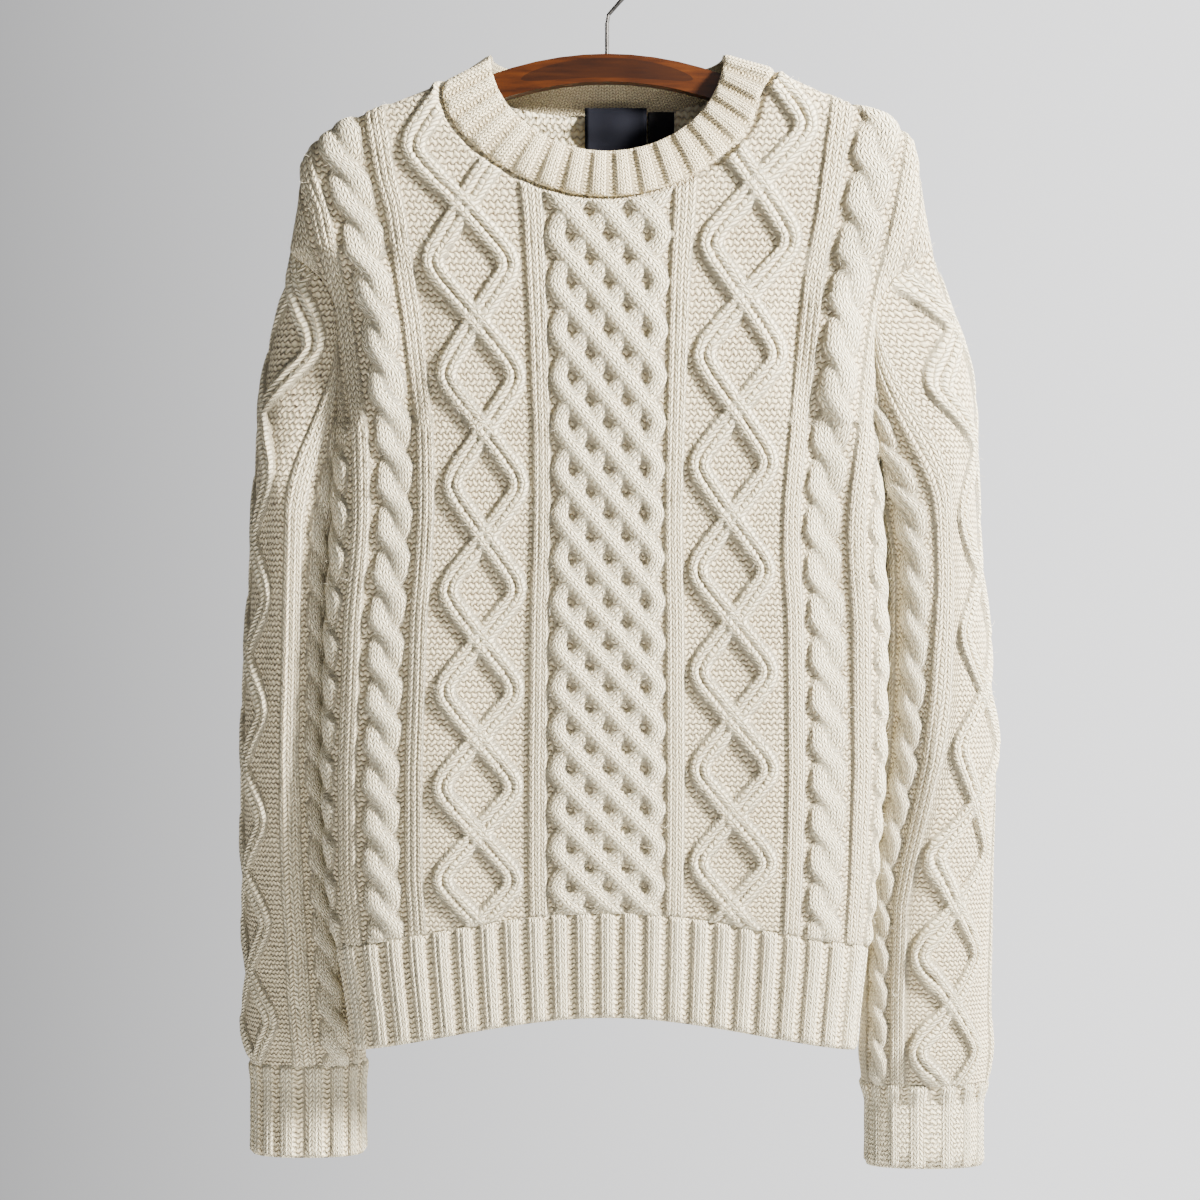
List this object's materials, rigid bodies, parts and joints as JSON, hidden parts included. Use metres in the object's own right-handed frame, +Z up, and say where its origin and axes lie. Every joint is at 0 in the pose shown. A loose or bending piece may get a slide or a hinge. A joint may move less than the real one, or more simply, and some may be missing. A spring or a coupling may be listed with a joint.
{
  "type": "cable-knit sweater on wooden hanger",
  "caption": "Cream cable-knit crew-neck sweater with ribbed neck, cuffs and hem, hung on a varnished wooden hanger with a wire hook",
  "frame": {"origin": "inside top of the hanger's wire hook, where a rail or nail carries the sweater", "axes": "+Z up, front of the sweater faces -Y, +X to the right as seen from the front"},
  "size_m": [0.5516, 0.1069, 0.8832],
  "materials": {
    "knit": "cream cotton and wool cable knit, matte",
    "rib": "cream rib knit, matte",
    "neck_rib": "finer cream rib knit, matte, slightly yellower",
    "label": "plain dark woven label",
    "hanger_wood": "varnished orange-brown wood",
    "hook_wire": "dull steel wire"
  },
  "bodies": {
    "root": {"front_panel": "knit", "back_panel": "knit", "sleeve_left": "knit", "sleeve_right": "knit", "hem_rib_front": "rib", "hem_rib_back": "rib", "cuff_left": "rib", "cuff_right": "rib", "neckband": "neck_rib", "neck_label": "label", "size_tab": "label", "hanger": "hanger_wood", "hanger_hook": "hook_wire"}
  },
  "joints": []
}
